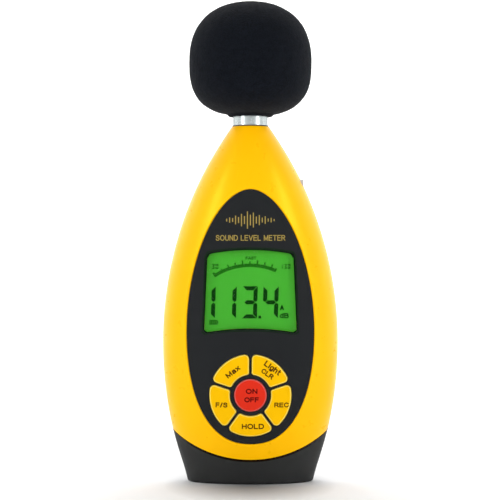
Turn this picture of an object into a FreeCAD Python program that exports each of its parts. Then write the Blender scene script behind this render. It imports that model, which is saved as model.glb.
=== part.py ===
import FreeCAD, Part
import math
import os
import re

# Hand-held sound level meter: casing, display, keypad, electronics, batteries and microphone.
# Millimetres, +Z up, origin in the middle of the flat base, front face towards -Y.

Vector = FreeCAD.Vector
doc = FreeCAD.newDocument("sound_level_meter")

# --- driving dimensions ----------------------------------------------------------------------
DIMENSIONS = {
    # casing: arcs in front view, an ellipse in section at every height
    "body_half_width": 33.1,
    "body_half_depth": 16.5,
    "widest_height": 52.4,
    "outline_radius": 140.0,
    "neck_height": 133.7,
    "neck_half_depth": 7.0,
    "taper_height": 20.0,
    "base_half_width": 23.6,
    "base_half_depth": 12.2,
    "base_rounding": 1.2,
    "wall": 2.0,
    "floor_height": 2.5,
    "ceiling_height": 125.3,
    # joint between front and rear casing: a plane that sweeps round below the keys
    "parting": 3.0,
    "sweep_radius": 46.1,
    "sweep_height": 55.5,
    "sweep_rounding": 6.0,
    "seam_gap": 0.3,
    "seam_lip": 1.2,
    "seam_lip_top": 117.0,
    # front panel: a sheet bent to one radius, let into the front casing
    "panel_depth": 13.6,
    "panel_crown": 100.0,
    "panel_thick": 1.2,
    "panel_bed": 1.6,
    "panel_half_width": 23.65,
    "panel_middle": 58.0,
    "panel_top": 109.7,
    "panel_bottom": 15.3,
    "panel_gap": 0.12,
    "recess_rounding": 0.45,
    # display
    "window_top": 87.6,
    "window_bottom": 57.6,
    "window_rise": 1.6,
    "window_top_half": 16.45,
    "window_bottom_half": 17.6,
    "window_top_rounding": 2.3,
    "window_bottom_rounding": 1.5,
    "window_gap": 0.08,
    "window_ledge": 0.4,
    "glass_half_width": 18.2,
    "glass_low": 54.5,
    "glass_high": 89.5,
    "glass_front": 10.0,
    "glass_thick": 2.2,
    "frame_front": 8.6,
    "frame_rim": 1.0,
    "fit_gap": 0.1,
    # keys: a round power key inside a ring of five
    "keys_height": 33.3,
    "ring_outer": 15.2,
    "ring_inner": 7.7,
    "ring_middle": 11.4,
    "power_radius": 6.0,
    "key_gap": 1.1,
    "key_clearance": 0.2,
    "key_proud": 0.6,
    "key_rounding": 0.5,
    "key_outer_rounding": 1.6,
    "key_inner_rounding": 0.9,
    "key_back": 10.4,
    "key_flange": 0.4,
    "keypad_hole": 16.3,
    "mat_radius": 16.8,
    "mat_thick": 0.8,
    "dome_radius": 3.2,
    "dome_wall": 0.8,
    "pill_radius": 1.4,
    "pill_lift": 0.7,
    "pad_thick": 0.1,
    # main board
    "board_front": 5.7,
    "board_thick": 1.6,
    "board_half_width": 21.5,
    "board_low": 24.0,
    "board_high": 92.5,
    "lower_tab_half": 14.0,
    "lower_tab_low": 17.0,
    "upper_tab_half": 13.0,
    "upper_tab_high": 115.0,
    "post_radius": 2.0,
    # microphone on its barrel
    "barrel_radius": 6.5,
    "barrel_bore": 5.4,
    "barrel_low": 116.3,
    "barrel_high": 154.0,
    "collar_radius": 7.9,
    "collar_thick": 1.8,
    "rib_thick": 1.8,
    "barrel_gap": 0.06,
    "seal_height": 129.6,
    "seal_wire": 0.45,
    "capsule_thick": 4.0,
    "grid_height": 4.3,
    "grid_wall": 0.6,
    # foam windscreen
    "foam_radius": 23.1,
    "foam_middle": 158.3,
    "foam_top": 181.5,
    "foam_bottom": 137.0,
    "foam_bore_gap": 0.1,
    "foam_bore_top": 163.2,
    # four AAA cells side by side, with their tray and door
    "cell_radius": 5.25,
    "cell_length": 44.5,
    "cell_pitch": 10.65,
    "cell_depth": 5.4,
    "cell_low": 28.0,
    "tray_half_width": 21.5,
    "tray_wall": 1.0,
    "tray_low": 26.6,
    "tray_high": 74.0,
    "tray_rim": 7.4,
    "door_half_width": 22.4,
    "door_low": 25.4,
    "door_high": 75.4,
    "door_gap": 0.2,
    "contact_thick": 0.4,
    # fasteners and fittings
    "screw_radius": 1.25,
    "screw_head_radius": 2.2,
    "screw_head_thick": 1.7,
    "screw_length": 11.5,
    "boss_radius": 2.9,
    "low_screw_x": 19.0,
    "low_screw_z": 19.5,
    "low_screw_seat": 7.0,
    "high_screw_x": 17.5,
    "high_screw_z": 98.3,
    "high_screw_seat": 7.8,
    "tripod_height": 95.3,
    "tripod_bore": 2.55,
    "tripod_radius": 4.8,
    "tripod_inner": 7.0,
    "tripod_outer": 15.3,
    # calibration trimmer, reached through a bush in the right shoulder
    "port_height": 112.3,
    "port_depth": 1.6,
    "port_bore": 0.95,
    "port_radius": 1.5,
    "port_inner": 15.2,
    "port_outer": 20.0,
    "port_flange": 0.6,
    "port_flange_thick": 0.9,
    "trimmer_face": 13.4,
    "rotor_radius": 1.3,
    "lead_radius": 0.45,
}

sheet = doc.addObject("Spreadsheet::Sheet", "Dims")
for row, (alias, value) in enumerate(DIMENSIONS.items(), start=1):
    sheet.set(f"A{row}", alias)
    sheet.set(f"B{row}", str(value))
    sheet.setAlias(f"B{row}", alias)
doc.recompute()


def size(alias):
    """A driving dimension, read from the sheet."""
    return float(sheet.get(alias))


# --- building blocks -------------------------------------------------------------------------
def term(text):
    """An expression whose dimension names point at the sheet."""
    def on_sheet(word):
        return f"Dims.{word[0]}" if word[0] in DIMENSIONS else word[0]

    return re.sub(r"[a-z]+(_[a-z]+)*", on_sheet, str(text))


def place(item, at, axis="Z"):
    directions = {"X": Vector(1, 0, 0), "Y": Vector(0, 1, 0), "Z": Vector(0, 0, 1)}
    item.Placement.Rotation = FreeCAD.Rotation(Vector(0, 0, 1), directions[axis])
    for coordinate, text in zip("xyz", at):
        item.setExpression(f"Placement.Base.{coordinate}", term(text))
    return item


def primitive(kind, name, at, axis="Z", **sizes):
    item = doc.addObject(kind, name)
    for prop, text in sizes.items():
        item.setExpression(prop, term(text))
    return place(item, at, axis)


def block(name, x, y, z):
    """A box between two expressions along each axis."""
    spans = [f"({high}) - ({low})" for low, high in (x, y, z)]
    return primitive(
        "Part::Box", name, (x[0], y[0], z[0]), Length=spans[0], Width=spans[1], Height=spans[2]
    )


def around(middle, reach):
    """The span of a block to either side of a middle."""
    return f"{middle} - {reach}", f"{middle} + {reach}"


def rod(name, radius, at, length, axis="Y"):
    return primitive("Part::Cylinder", name, at, axis, Radius=radius, Height=length)


def group(kind, name, prop, items):
    item = doc.addObject(kind, name)
    setattr(item, prop, list(items))
    return item


def fuse(name, *items):
    return items[0] if len(items) == 1 else group("Part::MultiFuse", name, "Shapes", items)


def common(name, *items):
    return group("Part::MultiCommon", name, "Shapes", items)


def cut(name, base, *tools):
    """Takes the tools away from the base one after another."""
    for tool in tools:
        item = doc.addObject("Part::Cut", name)
        item.Base = base
        item.Tool = tool
        base = item
    return base


def profile(name, edges, at=("0", "0", "0")):
    """A flat face drawn in the XZ plane."""
    item = doc.addObject("Part::Feature", name)
    item.Shape = Part.Face(Part.Wire(edges))
    return place(item, at)


def prism(name, edges, front, back):
    """A profile carried along Y between two depths."""
    item = doc.addObject("Part::Extrusion", name)
    item.Base = profile(f"{name}_face", edges, ("0", front, "0"))
    item.DirMode = "Custom"
    item.Dir = Vector(0, 1, 0)
    item.setExpression("LengthFwd", term(f"({back}) - ({front})"))
    item.Solid = True
    return item


def rounded(name, base, radius_of):
    """Fillets the edges to which radius_of gives a radius."""
    doc.recompute()
    radii = [(number, radius_of(edge)) for number, edge in enumerate(base.Shape.Edges, start=1)]
    item = doc.addObject("Part::Fillet", name)
    item.Base = base
    item.Edges = [(number, radius, radius) for number, radius in radii if radius]
    return item


parts = {}


def keep(name, item):
    """Registers a finished piece of the meter under its own name."""
    item.Label = name
    parts[name] = item
    return item


# --- casing form -----------------------------------------------------------------------------
def half_width(height):
    arc = "body_half_width - outline_radius + sqrt(outline_radius^2 - ({} - widest_height)^2)"
    return arc.format(height)


def half_depth(height):
    rise = f"(({height} - widest_height) / (neck_height - widest_height))"
    return f"neck_half_depth + (body_half_depth - neck_half_depth) * (1 - {rise}^4)"


def lower_half_depth(height):
    fall = f"((widest_height - {height}) / widest_height)"
    return f"body_half_depth - (body_half_depth - base_half_depth) * {fall}^1.8"


def casing_sections():
    """Height, half width and half depth of each section, from the base to the neck."""
    taper_top = half_width("taper_height")
    for step in (0, 0.5, 1):
        height = f"taper_height * {step}"
        width = f"base_half_width + ({taper_top} - base_half_width) * {step}"
        yield height, width, lower_half_depth(f"({height})")
    upper_steps = 8
    for step in range(1, upper_steps + 1):
        height = f"(taper_height + (neck_height - taper_height) * {step} / {upper_steps})"
        below = step <= 2
        yield height, half_width(height), lower_half_depth(height) if below else half_depth(height)


def casing_form(name, inset):
    """The casing's outer form, shrunk by the inset."""
    sections = []
    for height, width, depth in casing_sections():
        sizes = {"MajorRadius": f"{width} - ({inset})", "MinorRadius": f"{depth} - ({inset})"}
        sections.append(primitive("Part::Ellipse", f"{name}_section", ("0", "0", height), **sizes))
    loft = group("Part::Loft", name, "Sections", sections)
    loft.Solid = True
    loft.Ruled = False
    return loft


def sweep_region(name, grow):
    """The space in front of the casing joint, which turns forward under the keys."""
    disc = rod(
        f"{name}_disc", f"sweep_radius + {grow}", ("0", "-60", "sweep_height"), f"60 + parting + {grow}"
    )
    soft = rounded(f"{name}_soft", disc, lambda edge: size("sweep_rounding") * is_rear_rim(edge))
    above = block(
        f"{name}_above", ("-60", "60"), ("-60", f"parting + {grow}"), ("sweep_height", "sweep_height + 150")
    )
    return fuse(name, soft, above)


def is_rear_rim(edge):
    return len(edge.Vertexes) == 1 and edge.CenterOfMass.y > 0


def crown(name, drop):
    """The panel's cylinder of curvature, let down by the drop."""
    return rod(name, f"panel_crown - ({drop})", ("0", "panel_crown - panel_depth", "-10"), "220", "Z")


outer = rounded(
    "outer_form", casing_form("outer_loft", "0"),
    lambda edge: size("base_rounding") * (edge.BoundBox.ZMax < 0.01),
)
inner_loft = casing_form("inner_loft", "wall")
cavity_heights = block("cavity_heights", ("-60", "60"), ("-60", "60"), ("floor_height", "ceiling_height"))
behind_bed = crown("cavity_crown", "panel_thick + panel_bed")
cavity_whole = common("cavity_whole", inner_loft, cavity_heights, behind_bed)
collar_rib_low = "ceiling_height - collar_thick - rib_thick - 2 * fit_gap"
collar_rib_heights = (collar_rib_low, f"{collar_rib_low} + rib_thick")
collar_rib = block("collar_rib", ("-60", "60"), ("-60", "60"), collar_rib_heights)
cavity = cut("cavity", cavity_whole, collar_rib)
tongue_form = casing_form("tongue_loft", "wall / 2 + 0.05")
groove_form = casing_form("groove_loft", "wall / 2 - 0.05")

# --- outlines on the front face ---------------------------------------------------------------
def egg_edges(grow):
    """Front panel outline: two superellipses that share their widest line."""
    middle = size("panel_middle")
    across = size("panel_half_width") + grow
    halves = (
        (size("panel_top") - middle + grow, 1.85, 1),
        (middle - size("panel_bottom") + grow, 2.3, -1),
    )
    points = []
    for rise, power, sign in halves:
        for step in range(12):
            angle = math.pi * step / 12
            x = math.copysign(abs(math.cos(angle)) ** (2 / power), math.cos(angle))
            z = math.sin(angle) ** (2 / power)
            points.append(Vector(sign * across * x, 0, middle + sign * rise * z))
    curve = Part.BSplineCurve()
    curve.interpolate(points, PeriodicFlag=True)
    return [curve.toShape()]


def window_edges(grow):
    """Display window: arched top and bottom, sides that widen downwards."""
    top = size("window_top") + grow
    bottom = size("window_bottom") - grow
    rise = size("window_rise")
    wide = size("window_bottom_half") + grow
    narrow = size("window_top_half") + grow
    corners = [
        Vector(-wide, 0, bottom - rise),
        Vector(-narrow, 0, top - rise),
        Vector(narrow, 0, top - rise),
        Vector(wide, 0, bottom - rise),
    ]
    return [
        Part.LineSegment(corners[0], corners[1]).toShape(),
        Part.Arc(corners[1], Vector(0, 0, top), corners[2]).toShape(),
        Part.LineSegment(corners[2], corners[3]).toShape(),
        Part.Arc(corners[3], Vector(0, 0, bottom), corners[0]).toShape(),
    ]


def along_depth(edge):
    """True for a straight edge that runs along Y."""
    return len(edge.Vertexes) == 2 and abs(edge.Vertexes[0].Y - edge.Vertexes[1].Y) > 0.99 * edge.Length


def window_prism(name, grow, front, back):
    middle = (size("window_top") + size("window_bottom")) / 2

    def corner(edge):
        upper = edge.CenterOfMass.z > middle
        radius = size("window_top_rounding" if upper else "window_bottom_rounding")
        return max(radius + grow, 0.4) * along_depth(edge)

    return rounded(name, prism(f"{name}_raw", window_edges(grow), front, back), corner)


PETALS = {"key_hold": 270, "key_fast_slow": 198, "key_max": 126, "key_light": 54, "key_record": 342}
HALF_PETAL = math.radians(180 / len(PETALS))


def ring_point(radius, angle):
    """A point on the front face at a polar place round the power key."""
    return Vector(radius * math.cos(angle), 0, size("keys_height") + radius * math.sin(angle))


def petal_edges(direction, grow):
    """One key of the ring: two arcs and two sides parallel to the gap beside them."""
    middle = math.radians(direction)
    half_gap = size("key_gap") / 2 - grow
    arcs = []
    for radius in (size("ring_inner") - grow, size("ring_outer") + grow):
        reach = HALF_PETAL - math.asin(half_gap / radius)
        arcs.append([ring_point(radius, middle + side * reach) for side in (-1, 0, 1)])
    inner, outer_arc = arcs
    return [
        Part.Arc(*inner).toShape(),
        Part.LineSegment(inner[2], outer_arc[2]).toShape(),
        Part.Arc(*reversed(outer_arc)).toShape(),
        Part.LineSegment(outer_arc[0], inner[0]).toShape(),
    ]


def petal_prism(name, direction, grow, front, back):
    centre = ring_point(0, 0)
    split = (size("ring_inner") + size("ring_outer")) / 2

    def corner(edge):
        reach = math.hypot(edge.CenterOfMass.x - centre.x, edge.CenterOfMass.z - centre.z)
        radius = size("key_outer_rounding" if reach > split else "key_inner_rounding")
        return (radius + grow) * along_depth(edge)

    return rounded(name, prism(f"{name}_raw", petal_edges(direction, grow), front, back), corner)


def power_prism(name, grow, front, back):
    return rod(name, f"power_radius + {grow}", ("0", front, "keys_height"), f"({back}) - ({front})")


def key_prism(name, key, grow, front, back):
    if key == "key_power":
        return power_prism(name, grow, front, back)
    return petal_prism(name, PETALS[key], grow, front, back)


KEYS = ["key_power", *PETALS]
IN_FRONT = "-panel_depth - 6"
BEHIND_PANEL = "-key_back + 2"

# --- screw places ------------------------------------------------------------------------------
CASE_SCREWS = [
    (f"{side} * {row}_screw_x", f"{row}_screw_z", f"{row}_screw_seat")
    for row in ("low", "high")
    for side in (-1, 1)
]
BOARD_SCREWS = [
    (f"{side} * {x}", z, start)
    for x, z, start in (("19.0", "27.0", "9.6"), ("19.0", "51.0", "9.6"), ("9.5", "96.0", "11.2"))
    for side in (-1, 1)
]
BOARD_BACK = "(board_thick - board_front)"

# --- front casing ------------------------------------------------------------------------------
def barrel_passage(name):
    return rod(name, "barrel_radius + barrel_gap", ("0", "0", "ceiling_height - 10"), "30", "Z")


def port_rod(name, radius, start, length):
    """A cylinder on the axis of the calibration port."""
    return rod(name, radius, (start, "-port_depth", "port_height"), length, "X")


def build_front_shell():
    region = common("front_blank", outer, sweep_region("front_region", "0"))
    recess = cut(
        "panel_recess",
        prism("panel_recess_prism", egg_edges(size("panel_gap")), IN_FRONT, "0"),
        crown("panel_recess_crown", "panel_thick"),
    )

    def recess_rim(edge):
        box = edge.BoundBox
        near_panel = box.ZMin > size("panel_bottom") - 1 and box.ZMax < size("panel_top") + 1
        on_skin = near_panel and box.YMin < -size("panel_depth") and box.XLength > size("panel_half_width")
        return size("recess_rounding") * on_skin

    blank = rounded("front_recessed", cut("front_recess", region, recess), recess_rim)
    groove = cut("front_groove", groove_form, sweep_region("groove_region", "-1 * seam_lip - seam_gap"))
    groove_range = block("groove_range", ("-60", "60"), ("-60", "60"), ("3", "seam_lip_top + 0.5"))
    hollow = cut("front_hollow", blank, common("front_groove_ring", groove, groove_range), cavity)
    bosses = [
        rod("front_boss", "boss_radius", (x, "-13", z), "13 + parting") for x, z, _ in CASE_SCREWS
    ]
    clipped = common("front_bosses", fuse("front_boss_set", *bosses), tongue_form)
    posts = [
        rod("board_post", "post_radius", (x, f"-{start}", z), f"{start} - board_front")
        for x, z, start in BOARD_SCREWS
    ]
    body = fuse("front_body", hollow, clipped, *posts)

    pilots = [
        rod("case_pilot", "screw_radius + 0.02", (x, "-5.5", z), "5.6 + parting") for x, z, _ in CASE_SCREWS
    ]
    pilots += [rod("board_pilot", "1.0", (x, "-9.1", z), "3.5") for x, z, _ in BOARD_SCREWS]
    tools = [
        window_prism("window_opening", -size("window_ledge"), IN_FRONT, "-frame_front"),
        block(
            "glass_pocket",
            ("-glass_half_width - fit_gap", "glass_half_width + fit_gap"),
            ("-glass_front - fit_gap", "-board_front"),
            ("glass_low - fit_gap", "glass_high + fit_gap"),
        ),
        rod("keypad_opening", "keypad_hole", ("0", IN_FRONT, "keys_height"), "panel_depth"),
        barrel_passage("front_passage"),
        port_rod("port_hole", "port_radius + 0.05", "10", "15"),
        fuse("front_pilots", *pilots),
    ]
    return keep("front_shell", cut("front_shell_cut", body, *tools))


# --- rear casing -------------------------------------------------------------------------------
def door_window(name, grow, y_span):
    return block(
        name,
        (f"-door_half_width - {grow}", f"door_half_width + {grow}"),
        y_span,
        (f"door_low - {grow}", f"door_high + {grow}"),
    )


def build_rear_shell():
    skin = cut("rear_skin", outer, sweep_region("rear_region", "seam_gap"))
    tongue = cut("rear_tongue", tongue_form, sweep_region("tongue_region", "-1 * seam_lip"))
    tongue_range = block("tongue_range", ("-60", "60"), ("-60", "60"), ("3.5", "seam_lip_top"))
    tongue_ring = common("rear_tongue_ring", tongue, tongue_range)
    hollow = cut("rear_hollow", fuse("rear_blank", skin, tongue_ring), cavity)
    posts = [
        rod("rear_boss", "boss_radius", (x, "parting + fit_gap", z), "14") for x, z, _ in CASE_SCREWS
    ]
    tripod_boss = rod(
        "tripod_boss", "tripod_radius + 1.8", ("0", "tripod_inner - 1.5", "tripod_height"), "10"
    )
    clipped = common("rear_bosses", fuse("rear_boss_set", tripod_boss, *posts), tongue_form)
    body = fuse("rear_body", hollow, clipped)
    clearances = [rod("case_clearance", "screw_radius + 0.2", (x, "0", z), "20") for x, z, _ in CASE_SCREWS]
    recesses = [
        rod("head_recess", "screw_head_radius + 0.2", (x, seat, z), "12") for x, z, seat in CASE_SCREWS
    ]
    tools = [
        door_window("door_opening", "door_gap", ("parting + 1", "20")),
        barrel_passage("rear_passage"),
        rod("tripod_hole", "tripod_radius + 0.05", ("0", "tripod_inner - 0.05", "tripod_height"), "12"),
        fuse("rear_clearances", *clearances),
        fuse("rear_recesses", *recesses),
    ]
    return keep("rear_shell", cut("rear_shell_cut", body, *tools))


# --- front panel and display window ------------------------------------------------------------
def panel_sheet(name, outline):
    """The part of an outline's prism that lies in the bent sheet."""
    sheet_front = common(f"{name}_front", outline, crown(f"{name}_crown", "0"))
    return cut(name, sheet_front, crown(f"{name}_back", "panel_thick"))


def build_panel():
    outline = prism("panel_prism", egg_edges(0), IN_FRONT, "0")
    sheet_blank = panel_sheet("panel_blank", outline)
    holes = [
        key_prism(f"{key}_hole", key, size("key_clearance"), IN_FRONT, BEHIND_PANEL) for key in KEYS
    ]
    opening = window_prism("panel_window", size("window_gap"), IN_FRONT, "0")
    keep("front_panel", cut("front_panel_cut", sheet_blank, opening, *holes))
    lens = window_prism("lens_prism", 0, IN_FRONT, "0")
    keep("display_lens", panel_sheet("display_lens_sheet", lens))


# --- keys, rubber mat and contact pads ---------------------------------------------------------
def build_key(key):
    cap = common(
        f"{key}_cap",
        key_prism(f"{key}_prism", key, 0, IN_FRONT, "-key_back"),
        crown(f"{key}_crown", "-1 * key_proud"),
    )
    front = -size("panel_depth") - size("key_proud")

    def rim(edge):
        on_face = edge.BoundBox.YMax < -size("key_back") - 1
        in_front = edge.BoundBox.YMin >= front - 0.01
        return size("key_rounding") * (on_face and in_front and not along_depth(edge))

    soft_cap = rounded(f"{key}_soft", cap, rim)
    flange = common(
        f"{key}_flange",
        key_prism(f"{key}_flange_prism", key, size("key_flange"), IN_FRONT, "-key_back"),
        crown(f"{key}_flange_crown", "panel_thick + fit_gap"),
    )
    keep(key, fuse(f"{key}_body", soft_cap, flange))


def key_centre(key):
    """X and Z of the contact under a key."""
    reach = 0 if key == "key_power" else 1
    angle = PETALS.get(key, 0)
    x = f"ring_middle * {reach * math.cos(math.radians(angle)):.6f}"
    z = f"keys_height + ring_middle * {reach * math.sin(math.radians(angle)):.6f}"
    return x, z


def build_keypad_mat():
    foot = rod("mat_sheet", "mat_radius", ("0", "-board_front - mat_thick", "keys_height"), "mat_thick")
    domes, hollows, pills = [], [], []
    for key in KEYS:
        x, z = key_centre(key)
        domes.append(rod("mat_dome", "dome_radius", (x, "-key_back", z), "key_back - board_front"))
        top = "-key_back + dome_wall"
        hollows.append(rod("dome_hollow", "dome_radius - dome_wall", (x, top, z), "key_back - dome_wall"))
        length = "key_back - dome_wall - board_front - pad_thick - pill_lift"
        pills.append(rod("dome_pill", "pill_radius", (x, f"{top} - 0.2", z), f"{length} + 0.2"))
    rubber = cut("mat_rubber", fuse("mat_blank", foot, *domes), *hollows)
    keep("keypad_mat", fuse("keypad_mat_body", rubber, *pills))
    pads = []
    for key in KEYS:
        x, z = key_centre(key)
        pads.append(rod("key_pad", "pill_radius + 0.6", (x, "-board_front - pad_thick", z), "pad_thick"))
    keep("contact_pads", group("Part::Compound", "contact_pad_set", "Links", pads))


# --- display stack -----------------------------------------------------------------------------
def build_display():
    glass_back = "(glass_thick - glass_front)"
    glass = block(
        "lcd_glass_block",
        ("-glass_half_width", "glass_half_width"),
        ("-glass_front", glass_back),
        ("glass_low", "glass_high"),
    )
    keep("lcd_glass", glass)
    light_low = "glass_low + 3.2"
    light_high = "glass_high - 3.2"
    light = block(
        "backlight_block",
        ("-glass_half_width + 1", "glass_half_width - 1"),
        (f"{glass_back} + 0.05", "-board_front"),
        (light_low, light_high),
    )
    keep("backlight_panel", light)
    strips = [
        block(
            "zebra_strip",
            ("-glass_half_width + 1.5", "glass_half_width - 1.5"),
            (glass_back, "-board_front"),
            (low, f"{low} + 2"),
        )
        for low in ("glass_low + 0.6", "glass_high - 2.6")
    ]
    keep("zebra_strips", group("Part::Compound", "zebra_pair", "Links", strips))
    ring = block(
        "lcd_frame_outer",
        ("-glass_half_width - fit_gap - frame_rim", "glass_half_width + fit_gap + frame_rim"),
        ("-frame_front", "-board_front"),
        ("glass_low - fit_gap - frame_rim", "glass_high + fit_gap + frame_rim"),
    )
    opening = block(
        "lcd_frame_inner",
        ("-glass_half_width - fit_gap / 2", "glass_half_width + fit_gap / 2"),
        ("-20", "0"),
        ("glass_low - fit_gap / 2", "glass_high + fit_gap / 2"),
    )
    keep("lcd_frame", cut("lcd_frame_ring", ring, opening))


# --- main board and what is soldered to it ------------------------------------------------------
# middle x, middle z, width, height and thickness: processor, memory, amplifier, converter
CHIPS = (
    (-4.0, 62.0, 12.0, 12.0, 1.4),
    (9.5, 66.0, 6.0, 8.7, 1.5),
    (-6.0, 42.0, 6.0, 10.0, 1.5),
    (8.0, 44.0, 10.0, 5.0, 1.6),
)
# name, x of the first, pitch, count, middle z, width, height and thickness
PASSIVE_ROWS = (
    ("resistor", -14.0, 3.1, 6, 80.0, 1.2, 2.0, 0.6),
    ("capacitor", -14.0, 3.1, 6, 84.0, 1.6, 2.6, 1.0),
    ("filter_part", -6.0, 4.0, 4, 32.0, 1.6, 3.2, 0.9),
)


def build_board():
    depth = ("-board_front", BOARD_BACK)
    outlines = (
        ("board_half_width", "board_low", "board_high"),
        ("lower_tab_half", "lower_tab_low", "board_low + 1"),
        ("upper_tab_half", "board_high - 1", "upper_tab_high"),
    )
    plates = [block("board_plate", (f"-{half}", half), depth, (low, high)) for half, low, high in outlines]
    holes = [rod("board_hole", "1.15", (x, "-10", z), "10") for x, z, _ in BOARD_SCREWS]
    keep("main_board", cut("main_board_cut", fuse("board_blank", *plates), *holes))

    screws = []
    for x, z, _ in BOARD_SCREWS:
        shaft = rod("board_screw_shaft", "0.95", (x, "-8.8", z), f"8.8 + {BOARD_BACK}")
        head = rod("board_screw_head", "1.9", (x, BOARD_BACK, z), "1.1")
        slot_depth = (f"{BOARD_BACK} + 0.6", "0")
        slot = block("board_screw_slot", around(x, 1.3), slot_depth, around(z, 0.25))
        screws.append(cut("board_screw", fuse("board_screw_blank", shaft, head), slot))
    keep("board_screws", group("Part::Compound", "board_screw_set", "Links", screws))

    chips = [on_board("chip", *chip) for chip in CHIPS]
    keep("board_chips", group("Part::Compound", "chip_set", "Links", chips))
    passives = []
    for name, first_x, pitch, count, z, width, height, thick in PASSIVE_ROWS:
        for column in range(count):
            passives.append(on_board(name, first_x + pitch * column, z, width, height, thick))
    keep("board_passives", group("Part::Compound", "passive_set", "Links", passives))


def on_board(name, x, z, width, height, thick):
    """A component soldered to the back of the board."""
    return block(name, around(x, width / 2), (BOARD_BACK, f"{BOARD_BACK} + {thick}"), around(z, height / 2))


# --- calibration trimmer and its bush -----------------------------------------------------------
def build_trimmer():
    body = block(
        "trimmer_block",
        ("trimmer_face - 4.6", "trimmer_face"),
        (BOARD_BACK, "board_front - board_thick - 2 * port_depth"),
        around("port_height", 2.3),
    )
    well = port_rod("trimmer_well", "rotor_radius + 0.05", "trimmer_face - 1.6", "3")
    keep("trimmer_body", cut("trimmer_body_cut", body, well))
    disc = port_rod("rotor_disc", "rotor_radius", "trimmer_face - 1.5", "1.8")
    slot_depth = ("trimmer_face - 0.4", "trimmer_face + 1")
    slot = block("rotor_slot", slot_depth, around("-port_depth", 0.2), around("port_height", 2))
    keep("trimmer_rotor", cut("trimmer_rotor_cut", disc, slot))
    tube = port_rod("bush_tube", "port_radius", "port_inner", "port_outer - port_inner")
    flange = port_rod("bush_flange", "port_radius + port_flange", "port_inner", "port_flange_thick")
    bore = port_rod("bush_bore", "port_bore", "port_inner - 1", "8")
    keep("calibration_bush", cut("calibration_bush_cut", fuse("bush_blank", tube, flange), bore))


# --- microphone ---------------------------------------------------------------------------------
def upright(name, radius, low, high):
    return rod(name, radius, ("0", "0", low), f"({high}) - ({low})", "Z")


def build_microphone():
    collar_top = "ceiling_height - fit_gap / 2"
    tube = upright("barrel_tube", "barrel_radius", "barrel_low", "barrel_high")
    collar = upright("barrel_collar", "collar_radius", f"{collar_top} - collar_thick", collar_top)
    bore = upright("barrel_bore_rod", "barrel_bore", "barrel_low - 1", "barrel_high + 1")
    groove = primitive(
        "Part::Torus", "seal_groove", ("0", "0", "seal_height"),
        Radius1="barrel_radius + barrel_gap - seal_wire", Radius2="seal_wire + 0.02",
    )
    keep("mic_barrel", cut("mic_barrel_cut", fuse("barrel_blank", tube, collar), bore, groove))
    seal = primitive(
        "Part::Torus", "barrel_seal_ring", ("0", "0", "seal_height"),
        Radius1="barrel_radius + barrel_gap - seal_wire", Radius2="seal_wire",
    )
    keep("barrel_seal", seal)

    body = upright("capsule_body", "barrel_radius", "barrel_high", "barrel_high + capsule_thick")
    spigot = upright("capsule_spigot", "barrel_bore - 0.05", "barrel_high - 3", "barrel_high")
    seat_low = "barrel_high + capsule_thick - 0.8"
    seat = upright("capsule_seat", "barrel_radius - 1.2", seat_low, "barrel_high + 10")
    keep("mic_capsule", cut("mic_capsule_cut", fuse("capsule_blank", body, spigot), seat))
    keep("mic_diaphragm", upright("diaphragm_disc", "barrel_radius - 1.25", seat_low, f"{seat_low} + 0.3"))

    grid_low = "barrel_high + capsule_thick"
    grid_top = f"{grid_low} + grid_height"
    cap = upright("grid_cap", "barrel_radius", grid_low, grid_top)
    inside = upright("grid_inside", "barrel_radius - grid_wall", grid_low, f"{grid_top} - grid_wall")
    slot_heights = (f"{grid_top} - 1.5", f"{grid_top} + 1")
    reach, half_slot = 5.0, 0.3
    slots = []
    for turn in range(0, 180, 30):
        slot = block("grid_slot", around(0, reach), around(0, half_slot), slot_heights)
        slot.Placement.Rotation = FreeCAD.Rotation(Vector(0, 0, 1), turn)
        corner = slot.Placement.Rotation * Vector(-reach, -half_slot, 0)
        slot.setExpression("Placement.Base.x", f"{corner.x:.6f}")
        slot.setExpression("Placement.Base.y", f"{corner.y:.6f}")
        slots.append(slot)
    keep("mic_grid", cut("mic_grid_cut", cap, inside, *slots))

    plug = upright("insulator_disc", "barrel_bore - 0.05", "barrel_low", "barrel_low + 2.5")
    keep("barrel_insulator", plug)
    board = block("preamp_plate", ("-4.4", "4.4"), ("-0.5", "0.5"), ("barrel_low + 2.5", "barrel_high - 3"))
    keep("preamp_board", board)
    chip = block("preamp_chip_block", ("-2", "2"), ("0.5", "1.8"), ("barrel_high - 20", "barrel_high - 15"))
    keep("preamp_chip", chip)


def build_windscreen():
    middle = size("foam_middle")
    across = size("foam_radius")
    halves = ((middle - size("foam_bottom"), 2.6, -1), (size("foam_top") - middle, 2.3, 1))
    points = []
    for rise, power, sign in halves:
        quarter = []
        for step in range(9):
            angle = math.pi / 2 * step / 8
            radius = across * math.cos(angle) ** (2 / power) if step < 8 else 0
            quarter.append(Vector(radius, 0, middle + sign * rise * math.sin(angle) ** (2 / power)))
        points += reversed(quarter) if sign < 0 else quarter[1:]
    outline = Part.BSplineCurve()
    outline.interpolate(points)
    axis = Part.LineSegment(points[-1], points[0])
    turned = doc.addObject("Part::Revolution", "foam_turned")
    turned.Source = profile("foam_profile", [outline.toShape(), axis.toShape()])
    turned.Axis = Vector(0, 0, 1)
    turned.Base = Vector(0, 0, 0)
    turned.Angle = 360
    turned.Solid = True
    bore = upright("foam_bore", "barrel_radius + foam_bore_gap", "foam_bottom - 5", "foam_bore_top")
    keep("windscreen", cut("windscreen_cut", turned, bore))


# --- batteries, tray and door -------------------------------------------------------------------
CELL_COUNT = 4
CELLS = range(1, CELL_COUNT + 1)


def cell_x(number):
    return f"cell_pitch * {number - (CELL_COUNT + 1) / 2}"


def points_up(number):
    return number % 2 == 1


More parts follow.
